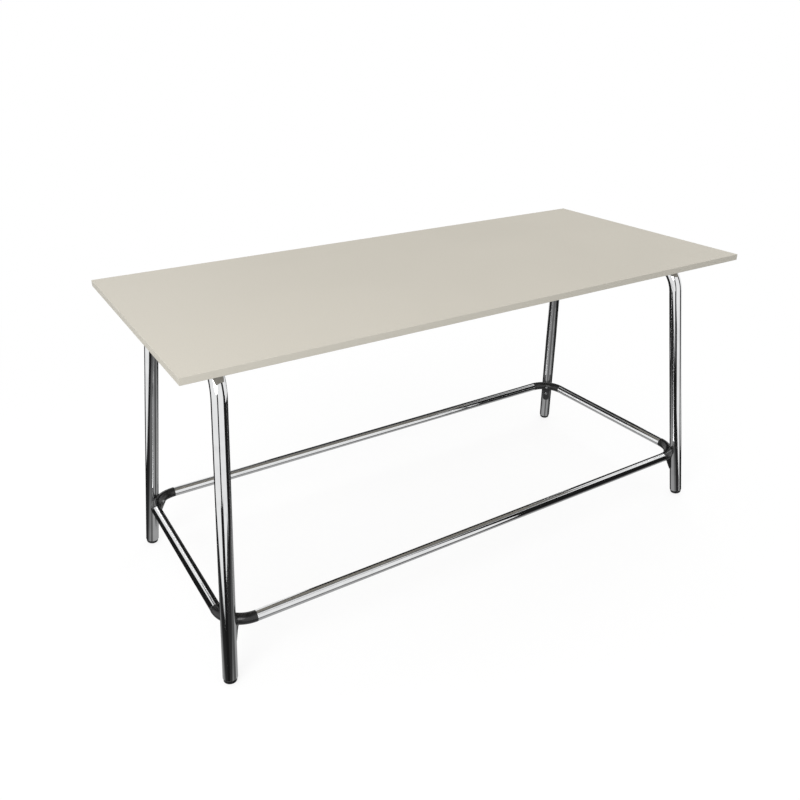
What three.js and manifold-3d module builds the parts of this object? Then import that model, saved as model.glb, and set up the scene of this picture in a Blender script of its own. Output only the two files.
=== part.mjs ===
// A standing meeting table: a laminate top on two chromed tube end frames, tied together by a low ring
// of chromed tube with black corner connectors, on black screw-in levelling glides.
// Millimetres, +Z up, X along the table. The origin is on the floor under the middle of the top.
import * as THREE from "three";
import { mergeVertices } from "three/addons/utils/BufferGeometryUtils.js";
import Module from "manifold-3d";

const wasm = await Module();
wasm.setup();

// Tabletop
const TABLE_HEIGHT = 900;
const TOP_LENGTH = 1800;
const TOP_WIDTH = 800;
const TOP_THICKNESS = 18;
const EDGE_BAND_THICKNESS = 2;

// End frames, each one tube bent into two splayed legs
const LEG_DIAMETER = 40;
const LEG_WALL = 2;
const LEG_SPLAY_DEGREES = 6;
const LEG_BEND_RADIUS = 100;
const FOOT_INSET_FROM_END = 37;
const FOOT_INSET_FROM_SIDE = 39;

// Plates welded on the end frames, and the threaded inserts that hold them to the top
const PLATE_LENGTH = 110;
const PLATE_WIDTH = 50;
const PLATE_THICKNESS = 4;
const PLATE_CORNER_RADIUS = 8;
const PLATE_FROM_BEND = 45;
const PLATE_SCREW_SPACING = 80;
const INSERT_DIAMETER = 10;
const INSERT_LENGTH = 12;

// Ring of tubes near the floor
const RING_HEIGHT = 172;
const RING_DIAMETER = 30;
const RING_WALL = 1.5;
const RING_OUTSIDE_LEG_AXIS = 6;

// Corner connectors of the ring
const CORNER_PROUD_OF_TUBE = 0.5;
const CORNER_BEND_RADIUS = 80;
const SPIGOT_LENGTH = 25;
const TONGUE_LENGTH = 76;
const TONGUE_WIDTH = 25;
const TONGUE_TIP_THICKNESS = 1.5;
const TONGUE_TIP_ROUNDING = 12;
const TONGUE_FACE_START = 10.5;
const TONGUE_FLARE_WIDTH = 46;
const TONGUE_FLARE_HEIGHT = 22;
const CORNER_SCREW_SPACING = 34;
const SCREW_SEAT_DEPTH = 2;
const SCREW_SEAT_MARGIN = 0.8;

// Screws and the rivet nuts set in the legs
const SCREW_DIAMETER = 6;
const SCREW_HEAD_DIAMETER = 10.5;
const SCREW_HEAD_HEIGHT = 3.3;
const SCREW_HEAD_RIM = 1.2;
const SCREW_HEAD_LAND = 1;
const SCREW_SOCKET_DIAMETER = 4.6;
const SCREW_SOCKET_DEPTH = 2;
const SCREW_END_CLEARANCE = 2;
const NUT_DIAMETER = 9;
const NUT_LENGTH = 14;
const NUT_COLLAR_DIAMETER = 12.4;
const NUT_COLLAR_HEIGHT = 3;

// Levelling glides and the threaded plugs that take their stems
const GLIDE_SETBACK_FROM_LEG = 2;
const GLIDE_DIAMETER = LEG_DIAMETER - 2 * GLIDE_SETBACK_FROM_LEG;
const GLIDE_HEIGHT = 16;
const GLIDE_DOME_RADIUS = 32;
const GLIDE_EDGE_CHAMFER = 2.4;
const GLIDE_FLAT_DEPTH = 0.25;
const GLIDE_STEM_DIAMETER = 10;
const GLIDE_TRAVEL = 10;
const GLIDE_ENGAGEMENT = 18;

// Clearance between pieces that fit into or round each other
const FIT_GAP = 0.3;

// Facets of round shapes
const TUBE_SIDES = 20;
const BEND_STEPS = 6;
const SMALL_SIDES = 10;
const DOME_STEPS = 4;

// Lines and radii that follow from the sizes above
const legRadius = LEG_DIAMETER / 2;
const ringRadius = RING_DIAMETER / 2;
const cornerRadius = ringRadius + CORNER_PROUD_OF_TUBE;
const splay = Math.tan(THREE.MathUtils.degToRad(LEG_SPLAY_DEGREES));
const lean = Math.atan(Math.SQRT2 * splay);
const undersideHeight = TABLE_HEIGHT - TOP_THICKNESS;
const railHeight = undersideHeight - PLATE_THICKNESS - FIT_GAP - legRadius;
const legX = (height) => TOP_LENGTH / 2 - FOOT_INSET_FROM_END - splay * height;
const legY = (height) => TOP_WIDTH / 2 - FOOT_INSET_FROM_SIDE - splay * height;
const railTurn = Math.acos(splay / Math.hypot(1, splay, splay));
const railHalf = legY(railHeight) - LEG_BEND_RADIUS * Math.tan(railTurn / 2);
const ringX = legX(RING_HEIGHT) + RING_OUTSIDE_LEG_AXIS;
const ringY = legY(RING_HEIGHT) + RING_OUTSIDE_LEG_AXIS;

// Stations along a leg, measured up its axis from the height of the ring
const domeBottom = (GLIDE_DOME_RADIUS - GLIDE_FLAT_DEPTH - RING_HEIGHT) / Math.cos(lean) - GLIDE_DOME_RADIUS;
const tubeEnd = domeBottom + GLIDE_HEIGHT;
const elbowReach = Math.SQRT2 * (CORNER_BEND_RADIUS - RING_OUTSIDE_LEG_AXIS) - CORNER_BEND_RADIUS;
const elbowFromLeg = elbowReach * Math.cos(lean);
const upperScrew = elbowReach * Math.sin(lean);
const lowerScrew = upperScrew - CORNER_SCREW_SPACING;
const tongueTip = upperScrew - TONGUE_LENGTH;

const COLOURS = {
  laminate: { color: 0xcfcabe, roughness: 0.55, metalness: 0 },
  edgeBand: { color: 0xc6c2b6, roughness: 0.5, metalness: 0 },
  chrome: { color: 0xd9dbde, roughness: 0.07, metalness: 1 },
  zinc: { color: 0xb9bcbf, roughness: 0.32, metalness: 1 },
  blackPlastic: { color: 0x161617, roughness: 0.45, metalness: 0 },
};

const table = new THREE.Group();

// Adds a named piece with a material of its own to a group.
function addPiece(group, name, geometry, finish) {
  const piece = new THREE.Mesh(geometry, new THREE.MeshStandardMaterial(COLOURS[finish]));
  piece.name = name;
  group.add(piece);
  return piece;
}

// A closed geometry as a solid that can be joined and cut.
function toSolid(geometry) {
  const bare = geometry.clone();
  bare.deleteAttribute("normal");
  bare.deleteAttribute("uv");
  const merged = mergeVertices(bare, 1e-4);
  const vertProperties = merged.attributes.position.array;
  const triVerts = new Uint32Array(merged.index.array);
  return new wasm.Manifold(new wasm.Mesh({ numProp: 3, vertProperties, triVerts }));
}

// A solid back as a geometry.
function toGeometry(solid) {
  const mesh = solid.getMesh();
  const geometry = new THREE.BufferGeometry();
  geometry.setAttribute("position", new THREE.BufferAttribute(mesh.vertProperties, 3));
  geometry.setIndex(new THREE.BufferAttribute(mesh.triVerts, 1));
  geometry.computeVertexNormals();
  return geometry;
}

// A bar of round section between two points.
function roundBar(from, to, radius, sides) {
  const along = new THREE.Vector3().subVectors(to, from);
  const turn = new THREE.Quaternion().setFromUnitVectors(
    new THREE.Vector3(0, 1, 0),
    along.clone().normalize(),
  );
  const middle = new THREE.Vector3().addVectors(from, to).multiplyScalar(0.5);
  return new THREE.CylinderGeometry(radius, radius, along.length(), sides)
    .applyQuaternion(turn)
    .translate(middle.x, middle.y, middle.z);
}

// A turned shape about the Z axis, from pairs of radius and height.
function turned(profile, sides) {
  const points = profile.map(([radius, height]) => new THREE.Vector2(radius, height));
  return new THREE.LatheGeometry(points, sides).rotateX(Math.PI / 2);
}

// A turned sleeve about the Z axis, open at both ends.
function sleeve(boreRadius, radius, bottom, top, sides) {
  const profile = [
    [boreRadius, bottom],
    [radius, bottom],
    [radius, top],
    [boreRadius, top],
    [boreRadius, bottom],
  ];
  return turned(profile, sides);
}

// A path of straight runs and round bends through a list of corners, with stations only where it turns.
class BentPath extends THREE.Curve {
  constructor(corners, bendRadius, bendSteps) {
    super();
    this.stations = [];
    const runs = corners.slice(1).map((corner, i) => corner.clone().sub(corners[i]).normalize());
    this.addStation(corners[0], runs[0]);
    runs.slice(1).forEach((after, i) => this.addBend(corners[i + 1], runs[i], after, bendRadius, bendSteps));
    this.addStation(corners.at(-1), runs.at(-1));
  }

  addStation(point, tangent) {
    this.stations.push({ point: point.clone(), tangent: tangent.clone() });
  }

  addBend(corner, before, after, radius, steps) {
    const turn = before.angleTo(after);
    const inward = after.clone().addScaledVector(before, -after.dot(before)).normalize();
    const centre = corner
      .clone()
      .addScaledVector(before, -radius * Math.tan(turn / 2))
      .addScaledVector(inward, radius);
    for (let i = 0; i <= steps; i++) {
      const angle = (turn * i) / steps;
      const point = centre
        .clone()
        .addScaledVector(inward, -radius * Math.cos(angle))
        .addScaledVector(before, radius * Math.sin(angle));
      const tangent = before.clone().multiplyScalar(Math.cos(angle)).addScaledVector(inward, Math.sin(angle));
      this.addStation(point, tangent);
    }
  }

  get steps() {
    return this.stations.length - 1;
  }

  getPointAt(u, target = new THREE.Vector3()) {
    return target.copy(this.stations[Math.round(u * this.steps)].point);
  }

  getTangentAt(u, target = new THREE.Vector3()) {
    return target.copy(this.stations[Math.round(u * this.steps)].tangent);
  }
}

// A round tube along a path, or a solid rod where the wall is left out.
function tubeAlong(path, radius, wall) {
  const section = new THREE.Shape().absarc(0, 0, radius, 0, 2 * Math.PI);
  if (wall) section.holes.push(new THREE.Path().absarc(0, 0, radius - wall, 0, 2 * Math.PI, true));
  return new THREE.ExtrudeGeometry(section, {
    extrudePath: path,
    steps: path.steps,
    curveSegments: TUBE_SIDES / 2,
  });
}

// Which way the table's sides lie: left and right along X, front and back along Y.
const LEFT_RIGHT = { left: -1, right: 1 };
const FRONT_BACK = { front: -1, back: 1 };

// A corner of the table. Its group stands on the leg's axis at the height of the ring, with +X pointing
// in across the corner, and the leg group inside it has its +Z up the leg's axis.
function tableCorner(row, side) {
  const group = new THREE.Group();
  group.position.set(LEFT_RIGHT[side] * legX(RING_HEIGHT), FRONT_BACK[row] * legY(RING_HEIGHT), RING_HEIGHT);
  group.rotation.z = Math.atan2(-FRONT_BACK[row], -LEFT_RIGHT[side]);
  const leg = new THREE.Group();
  leg.rotation.y = lean;
  group.add(leg);
  table.add(group);
  leg.updateWorldMatrix(true, false);
  return { name: `${row}_${side}`, side, group, leg };
}

const CORNERS = Object.keys(FRONT_BACK).flatMap((row) =>
  Object.keys(LEFT_RIGHT).map((side) => tableCorner(row, side)),
);

// The mount plates, two on each end frame, and how far each plate's screws stand from its middle.
const PLATES = Object.keys(FRONT_BACK).flatMap((row) =>
  Object.keys(LEFT_RIGHT).map((side) => ({
    name: `${row}_${side}`,
    x: LEFT_RIGHT[side] * legX(railHeight),
    y: FRONT_BACK[row] * (railHalf - PLATE_FROM_BEND - PLATE_WIDTH / 2),
    screws: [
      { name: "inner", x: (-LEFT_RIGHT[side] * PLATE_SCREW_SPACING) / 2 },
      { name: "outer", x: (LEFT_RIGHT[side] * PLATE_SCREW_SPACING) / 2 },
    ],
  })),
);

// The board of the top, with blind holes for the inserts.
function tabletopBoard() {
  const board = new THREE.BoxGeometry(
    TOP_LENGTH - 2 * EDGE_BAND_THICKNESS,
    TOP_WIDTH - 2 * EDGE_BAND_THICKNESS,
    TOP_THICKNESS,
  ).translate(0, 0, undersideHeight + TOP_THICKNESS / 2);
  let solid = toSolid(board);
  for (const plate of PLATES) {
    for (const screw of plate.screws) {
      const mouth = new THREE.Vector3(plate.x + screw.x, plate.y, undersideHeight - FIT_GAP);
      const end = mouth.clone().setZ(undersideHeight + INSERT_LENGTH + FIT_GAP);
      solid = solid.subtract(toSolid(roundBar(mouth, end, INSERT_DIAMETER / 2 + FIT_GAP, SMALL_SIDES)));
    }
  }
  return toGeometry(solid);
}

// The long bands cover the ends of the short ones at the corners.
function addEdgeBands() {
  const middle = undersideHeight + TOP_THICKNESS / 2;
  const long = new THREE.BoxGeometry(TOP_LENGTH, EDGE_BAND_THICKNESS, TOP_THICKNESS);
  const short = new THREE.BoxGeometry(EDGE_BAND_THICKNESS, TOP_WIDTH - 2 * EDGE_BAND_THICKNESS, TOP_THICKNESS);
  const outY = (TOP_WIDTH - EDGE_BAND_THICKNESS) / 2;
  const outX = (TOP_LENGTH - EDGE_BAND_THICKNESS) / 2;
  addPiece(table, "edge_band_front", long, "edgeBand").position.set(0, -outY, middle);
  addPiece(table, "edge_band_back", long, "edgeBand").position.set(0, outY, middle);
  addPiece(table, "edge_band_left", short, "edgeBand").position.set(-outX, 0, middle);
  addPiece(table, "edge_band_right", short, "edgeBand").position.set(outX, 0, middle);
}

// One end frame: front leg, bend, rail under the top, bend and back leg, with holes for the rivet nuts.
function endFrame(side) {
  const out = LEFT_RIGHT[side];
  const footHeight = RING_HEIGHT + tubeEnd * Math.cos(lean);
  const path = new BentPath(
    [
      new THREE.Vector3(out * legX(footHeight), -legY(footHeight), footHeight),
      new THREE.Vector3(out * legX(railHeight), -legY(railHeight), railHeight),
      new THREE.Vector3(out * legX(railHeight), legY(railHeight), railHeight),
      new THREE.Vector3(out * legX(footHeight), legY(footHeight), footHeight),
    ],
    LEG_BEND_RADIUS,
    BEND_STEPS,
  );
  let solid = toSolid(tubeAlong(path, legRadius, LEG_WALL));
  for (const { leg } of CORNERS.filter((corner) => corner.side === side)) {
    for (const height of [upperScrew, lowerScrew]) {
      const from = leg.localToWorld(new THREE.Vector3(0, 0, height));
      const to = leg.localToWorld(new THREE.Vector3(LEG_DIAMETER, 0, height));
      solid = solid.subtract(toSolid(roundBar(from, to, NUT_DIAMETER / 2 + FIT_GAP, SMALL_SIDES)));
    }
  }
  return toGeometry(solid);
}

// A flat plate with round corners and two screw holes, lying on z = 0.
function mountPlate() {
  const x = PLATE_LENGTH / 2;
  const y = PLATE_WIDTH / 2;
  const r = PLATE_CORNER_RADIUS;
  const outline = new THREE.Shape()
    .absarc(x - r, y - r, r, 0, Math.PI / 2)
    .absarc(r - x, y - r, r, Math.PI / 2, Math.PI)
    .absarc(r - x, r - y, r, Math.PI, 1.5 * Math.PI)
    .absarc(x - r, r - y, r, 1.5 * Math.PI, 2 * Math.PI);
  for (const holeX of [-PLATE_SCREW_SPACING / 2, PLATE_SCREW_SPACING / 2]) {
    outline.holes.push(new THREE.Path().absarc(holeX, 0, SCREW_DIAMETER / 2 + FIT_GAP, 0, 2 * Math.PI, true));
  }
  return new THREE.ExtrudeGeometry(outline, {
    depth: PLATE_THICKNESS,
    bevelEnabled: false,
    curveSegments: SMALL_SIDES / 2,
  });
}

// A button-head screw with a recess, its head's seat on z = 0 and its head above.
function buttonHeadScrew(length) {
  const r = SCREW_DIAMETER / 2;
  const head = SCREW_HEAD_DIAMETER / 2;
  const socket = SCREW_SOCKET_DIAMETER / 2;
  const profile = [
    [0, -length],
    [r, -length],
    [r, 0],
    [head, 0],
    [head, SCREW_HEAD_RIM],
    [socket + SCREW_HEAD_LAND, SCREW_HEAD_HEIGHT],
    [socket, SCREW_HEAD_HEIGHT],
    [socket, SCREW_HEAD_HEIGHT - SCREW_SOCKET_DEPTH],
    [0, SCREW_HEAD_HEIGHT - SCREW_SOCKET_DEPTH],
  ];
  return turned(profile, SMALL_SIDES);
}

// The plates, and the screws and inserts that hold each one to the top.
function addTopFastening() {
  const plate = mountPlate();
  const screwLength = PLATE_THICKNESS + INSERT_LENGTH - SCREW_END_CLEARANCE;
  const screwShape = buttonHeadScrew(screwLength).rotateX(Math.PI);
  const boreRadius = SCREW_DIAMETER / 2 + FIT_GAP;
  const insert = sleeve(boreRadius, INSERT_DIAMETER / 2, 0, INSERT_LENGTH, SMALL_SIDES);
  for (const { name, x, y, screws } of PLATES) {
    const group = new THREE.Group();
    group.position.set(x, y, undersideHeight);
    table.add(group);
    addPiece(group, `mount_plate_${name}`, plate, "chrome").position.z = -PLATE_THICKNESS;
    for (const screw of screws) {
      const seat = -PLATE_THICKNESS;
      addPiece(group, `top_screw_${name}_${screw.name}`, screwShape, "zinc").position.set(screw.x, 0, seat);
      addPiece(group, `threaded_insert_${name}_${screw.name}`, insert, "zinc").position.x = screw.x;
    }
  }
}

// The straight tubes of the ring, which stop just short of the connectors.
function addRingTubes() {
  const tube = (from, to) => tubeAlong(new BentPath([from, to]), ringRadius, RING_WALL);
  const longEnd = ringX - CORNER_BEND_RADIUS - FIT_GAP;
  const shortEnd = ringY - CORNER_BEND_RADIUS - FIT_GAP;
  const long = tube(new THREE.Vector3(-longEnd, 0, 0), new THREE.Vector3(longEnd, 0, 0));
  const short = tube(new THREE.Vector3(0, -shortEnd, 0), new THREE.Vector3(0, shortEnd, 0));
  addPiece(table, "ring_tube_front", long, "chrome").position.set(0, -ringY, RING_HEIGHT);
  addPiece(table, "ring_tube_back", long, "chrome").position.set(0, ringY, RING_HEIGHT);
  addPiece(table, "ring_tube_left", short, "chrome").position.set(-ringX, 0, RING_HEIGHT);
  addPiece(table, "ring_tube_right", short, "chrome").position.set(ringX, 0, RING_HEIGHT);
}

// How far the tongue's face lies from the leg's axis, at a height along the leg.
function tongueFace(height) {
  const top = upperScrew - TONGUE_FACE_START;
  const tipFace = legRadius + TONGUE_TIP_THICKNESS;
  const topFace = elbowFromLeg + cornerRadius;
  return tipFace + ((topFace - tipFace) * (height - tongueTip)) / (top - tongueTip);
}

// The tongue that runs down the leg: the common part of its front outline and its tapered side profile.
function connectorTongue() {
  const half = TONGUE_WIDTH / 2;
  const flare = TONGUE_FLARE_WIDTH / 2;
  const flareEnd = upperScrew - cornerRadius - TONGUE_FLARE_HEIGHT;
  const shoulder = tongueTip + TONGUE_TIP_ROUNDING;
  const front = new THREE.Shape()
    .moveTo(flare, upperScrew)
    .lineTo(-flare, upperScrew)
    .quadraticCurveTo(-half, upperScrew - cornerRadius, -half, flareEnd)
    .lineTo(-half, shoulder)
    .absellipse(0, shoulder, half, TONGUE_TIP_ROUNDING, Math.PI, 2 * Math.PI)
    .lineTo(half, flareEnd)
    .quadraticCurveTo(half, upperScrew - cornerRadius, flare, upperScrew);
  const side = new THREE.Shape()
    .moveTo(0, tongueTip - FIT_GAP)
    .lineTo(tongueFace(tongueTip - FIT_GAP), tongueTip - FIT_GAP)
    .lineTo(tongueFace(upperScrew - TONGUE_FACE_START), upperScrew - TONGUE_FACE_START)
    .lineTo(elbowFromLeg, upperScrew)
    .lineTo(0, upperScrew);
  const frontAxes = new THREE.Matrix4().makeBasis(
    new THREE.Vector3(0, 1, 0),
    new THREE.Vector3(0, 0, 1),
    new THREE.Vector3(1, 0, 0),
  );
  const sideAxes = new THREE.Matrix4().makeBasis(
    new THREE.Vector3(1, 0, 0),
    new THREE.Vector3(0, 0, 1),
    new THREE.Vector3(0, -1, 0),
  );
  const options = { bevelEnabled: false, curveSegments: BEND_STEPS };
  const reach = elbowFromLeg + 2 * cornerRadius;
  const frontBlock = new THREE.ExtrudeGeometry(front, { ...options, depth: reach }).applyMatrix4(frontAxes);
  const sideBlock = new THREE.ExtrudeGeometry(side, { ...options, depth: 2 * TONGUE_FLARE_WIDTH })
    .translate(0, 0, -TONGUE_FLARE_WIDTH)
    .applyMatrix4(sideAxes);
  return toSolid(frontBlock).intersect(toSolid(sideBlock));
}

// Where each connector screw's head sits, and how long its shank is to end inside its rivet nut.
const nutTop = Math.sqrt(legRadius ** 2 - (NUT_DIAMETER / 2) ** 2) - FIT_GAP;
const shankEnd = nutTop - NUT_LENGTH + SCREW_END_CLEARANCE;
const CORNER_SCREWS = [
  { place: "upper", height: upperScrew, seat: elbowFromLeg + cornerRadius - SCREW_SEAT_DEPTH },
  { place: "lower", height: lowerScrew, seat: tongueFace(lowerScrew) - SCREW_SEAT_DEPTH },
];

// One ring corner: a quarter elbow with a spigot at each end and the tongue below, hollowed to clasp the
// leg and bored for the two screws. Made about the corner group's origin.
function cornerConnector() {
  const arm = new THREE.Vector3(Math.SQRT1_2, Math.SQRT1_2, 0);
  const crossing = new THREE.Vector3(-Math.SQRT2 * RING_OUTSIDE_LEG_AXIS, 0, 0);
  const armEnds = [1, -1].map((way) => {
    const along = arm.clone().setY(way * arm.y);
    return { along, shoulder: crossing.clone().addScaledVector(along, CORNER_BEND_RADIUS) };
  });
  const bend = new BentPath(
    [armEnds[0].shoulder, crossing, armEnds[1].shoulder],
    CORNER_BEND_RADIUS,
    BEND_STEPS,
  );
  // The bend starts and ends at the shoulders, so it has no straight runs.
  bend.stations = bend.stations.slice(1, -1);
  let solid = toSolid(tubeAlong(bend, cornerRadius));
  for (const { along, shoulder } of armEnds) {
    const root = shoulder.clone().addScaledVector(along, -RING_WALL);
    const end = shoulder.clone().addScaledVector(along, SPIGOT_LENGTH);
    solid = solid.add(toSolid(roundBar(root, end, ringRadius - RING_WALL - FIT_GAP, TUBE_SIDES)));
  }
  const inLeg = new THREE.Matrix4().makeRotationY(lean);
  const legPiece = (geometry) => toSolid(geometry.applyMatrix4(inLeg));
  solid = solid.add(legPiece(toGeometry(connectorTongue())));
  const clasp = roundBar(
    new THREE.Vector3(0, 0, -2 * TONGUE_LENGTH),
    new THREE.Vector3(0, 0, 2 * TONGUE_LENGTH),
    legRadius + FIT_GAP,
    TUBE_SIDES,
  );
  solid = solid.subtract(legPiece(clasp));
  for (const { height, seat } of CORNER_SCREWS) {
    const axis = new THREE.Vector3(0, 0, height);
    const seatPoint = new THREE.Vector3(seat, 0, height);
    const outside = new THREE.Vector3(seat + 2 * cornerRadius, 0, height);
    const seatRadius = SCREW_HEAD_DIAMETER / 2 + SCREW_SEAT_MARGIN;
    solid = solid.subtract(legPiece(roundBar(axis, outside, SCREW_DIAMETER / 2 + FIT_GAP, SMALL_SIDES)));
    solid = solid.subtract(legPiece(roundBar(seatPoint, outside, seatRadius, 2 * SMALL_SIDES)));
  }
  return toGeometry(solid);
}

// A rivet nut along Z with its top on z = 0, collared behind the leg's wall.
function rivetNut() {
  const bore = SCREW_DIAMETER / 2 + FIT_GAP;
  const radius = NUT_DIAMETER / 2;
  const collar = NUT_COLLAR_DIAMETER / 2;
  const innerWall = Math.sqrt((legRadius - LEG_WALL) ** 2 - collar ** 2) - FIT_GAP;
  const collarTop = innerWall - nutTop;
  const profile = [
    [bore, -NUT_LENGTH],
    [radius, -NUT_LENGTH],
    [radius, collarTop - NUT_COLLAR_HEIGHT],
    [collar, collarTop - NUT_COLLAR_HEIGHT / 2],
    [collar, collarTop],
    [radius, collarTop],
    [radius, 0],
    [bore, 0],
    [bore, -NUT_LENGTH],
  ];
  return turned(profile, SMALL_SIDES);
}

// A levelling glide along Z with the bottom of its dome on z = 0, as turned.
function levellingGlide() {
  const radius = GLIDE_DIAMETER / 2;
  const stem = GLIDE_STEM_DIAMETER / 2;
  const domeRadius = radius - GLIDE_EDGE_CHAMFER;
  const shoulder = GLIDE_HEIGHT - FIT_GAP;
  const domeHeight = (r) => GLIDE_DOME_RADIUS - Math.sqrt(GLIDE_DOME_RADIUS ** 2 - r ** 2);
  const dome = Array.from({ length: DOME_STEPS + 1 }, (_, i) => {
    const r = (domeRadius * i) / DOME_STEPS;
    return [r, domeHeight(r)];
  });
  const profile = [
    ...dome,
    [radius, domeHeight(domeRadius) + GLIDE_EDGE_CHAMFER],
    [radius, shoulder],
    [stem, shoulder],
    [stem, shoulder + GLIDE_TRAVEL + GLIDE_ENGAGEMENT],
    [0, shoulder + GLIDE_TRAVEL + GLIDE_ENGAGEMENT],
  ];
  return turned(profile, TUBE_SIDES);
}

// The glide as it stands in its corner: where its dome meets the floor, it is worn flat.
function wornGlide() {
  const inCorner = new THREE.Matrix4().makeRotationY(lean);
  const glide = levellingGlide().translate(0, 0, domeBottom).applyMatrix4(inCorner);
  const floor = new THREE.BoxGeometry(2 * GLIDE_DIAMETER, 2 * GLIDE_DIAMETER, GLIDE_HEIGHT);
  floor.translate(-RING_HEIGHT * Math.tan(lean), 0, -RING_HEIGHT - GLIDE_HEIGHT / 2);
  return toGeometry(toSolid(glide).subtract(toSolid(floor)));
}

// What each leg carries: its ring connector with screws and rivet nuts, its threaded plug and its glide.
function addCorners() {
  const connector = cornerConnector();
  const nut = rivetNut().rotateY(Math.PI / 2);
  const glide = wornGlide();
  const plugLength = GLIDE_TRAVEL + GLIDE_ENGAGEMENT + SCREW_END_CLEARANCE;
  const plugRadius = legRadius - LEG_WALL - FIT_GAP;
  const plug = sleeve(GLIDE_STEM_DIAMETER / 2 + FIT_GAP, plugRadius, 0, plugLength, TUBE_SIDES);
  for (const { name, group, leg } of CORNERS) {
    addPiece(group, `ring_corner_${name}`, connector, "blackPlastic");
    for (const { place, height, seat } of CORNER_SCREWS) {
      const screw = buttonHeadScrew(seat - shankEnd).rotateY(Math.PI / 2);
      addPiece(leg, `corner_screw_${name}_${place}`, screw, "zinc").position.set(seat, 0, height);
      addPiece(leg, `rivet_nut_${name}_${place}`, nut, "zinc").position.set(nutTop, 0, height);
    }
    addPiece(leg, `leg_plug_${name}`, plug, "blackPlastic").position.z = tubeEnd;
    addPiece(group, `levelling_glide_${name}`, glide, "blackPlastic");
  }
}

addPiece(table, "tabletop_board", tabletopBoard(), "laminate");
addEdgeBands();
addPiece(table, "end_frame_left", endFrame("left"), "chrome");
addPiece(table, "end_frame_right", endFrame("right"), "chrome");
addTopFastening();
addRingTubes();
addCorners();

export default table;
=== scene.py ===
"""Looks of a standing meeting table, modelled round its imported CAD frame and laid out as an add-on."""
import math

import bmesh
import bpy
from mathutils import Matrix, Vector


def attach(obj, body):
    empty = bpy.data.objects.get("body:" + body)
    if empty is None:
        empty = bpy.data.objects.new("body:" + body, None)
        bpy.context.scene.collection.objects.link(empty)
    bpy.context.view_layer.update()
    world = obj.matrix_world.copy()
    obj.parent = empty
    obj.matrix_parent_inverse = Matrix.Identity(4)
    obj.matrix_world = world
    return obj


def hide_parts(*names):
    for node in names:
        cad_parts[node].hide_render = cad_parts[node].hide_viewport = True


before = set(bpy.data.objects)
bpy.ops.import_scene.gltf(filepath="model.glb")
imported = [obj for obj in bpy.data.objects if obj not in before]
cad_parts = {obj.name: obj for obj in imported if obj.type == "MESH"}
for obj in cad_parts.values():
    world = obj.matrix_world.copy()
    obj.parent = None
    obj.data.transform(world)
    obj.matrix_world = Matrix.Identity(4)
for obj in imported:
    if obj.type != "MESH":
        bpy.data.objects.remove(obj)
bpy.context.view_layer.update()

bl_info = {
    "name": "Standing Meeting Table",
    "version": (1, 0, 0),
    "blender": (4, 5, 0),
    "location": "View3D > Sidebar > Table",
    "description": "Models the visible pieces, finishes and studio of a standing meeting table",
    "category": "Add Mesh",
}

MM = 0.001
TABLE_BODY = "table"
ROWS = {"front": -1, "back": 1}
SIDES = {"left": -1, "right": 1}
CORNERS = [(row, side) for row in ROWS for side in SIDES]
SCREW_PLACES = ("upper", "lower")
PLATE_SCREWS = {"inner": -1, "outer": 1}

# Facets of round shapes
TUBE_SIDES = 72
CLASP_SIDES = 144
SMALL_SIDES = 48
HEXAGON_SIDES = 6
BEND_STEPS = 28
FLARE_STEPS = 8
HEAD_STEPS = 6
DOME_STEPS = 14
DOME_EDGE_STEPS = 6
THREAD_STEPS = 24
BAND_SEGMENTS = 4
PLATE_CORNER_SEGMENTS = 10
ARRIS_SEGMENTS = 2
CHAMFER_SEGMENTS = 1

# One tooth of a thread, as shares of the pitch and of the depth, and turns to spare at the thread's two ends
THREAD_TOOTH = ((0, 0), (0.4, 1), (0.55, 1), (0.95, 0), (1, 0))
TURNS_BELOW = 2
TURNS_ABOVE = 1

# Distances in metres within which points are one, loose edges are welded and slivers are taken out
MERGE_DISTANCE = 1e-6
WELD_DISTANCE = 1e-5
SLIVER_DISTANCE = 2e-5

# The angle past which an edge is sharp, and the cosine past which a face looks in a direction
SHARP_ANGLE = math.radians(32)
FACING = 0.9

# The camera's sensor in millimetres and the furthest that it sees in metres
SENSOR_WIDTH = 36
SIGHT = 200

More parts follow.
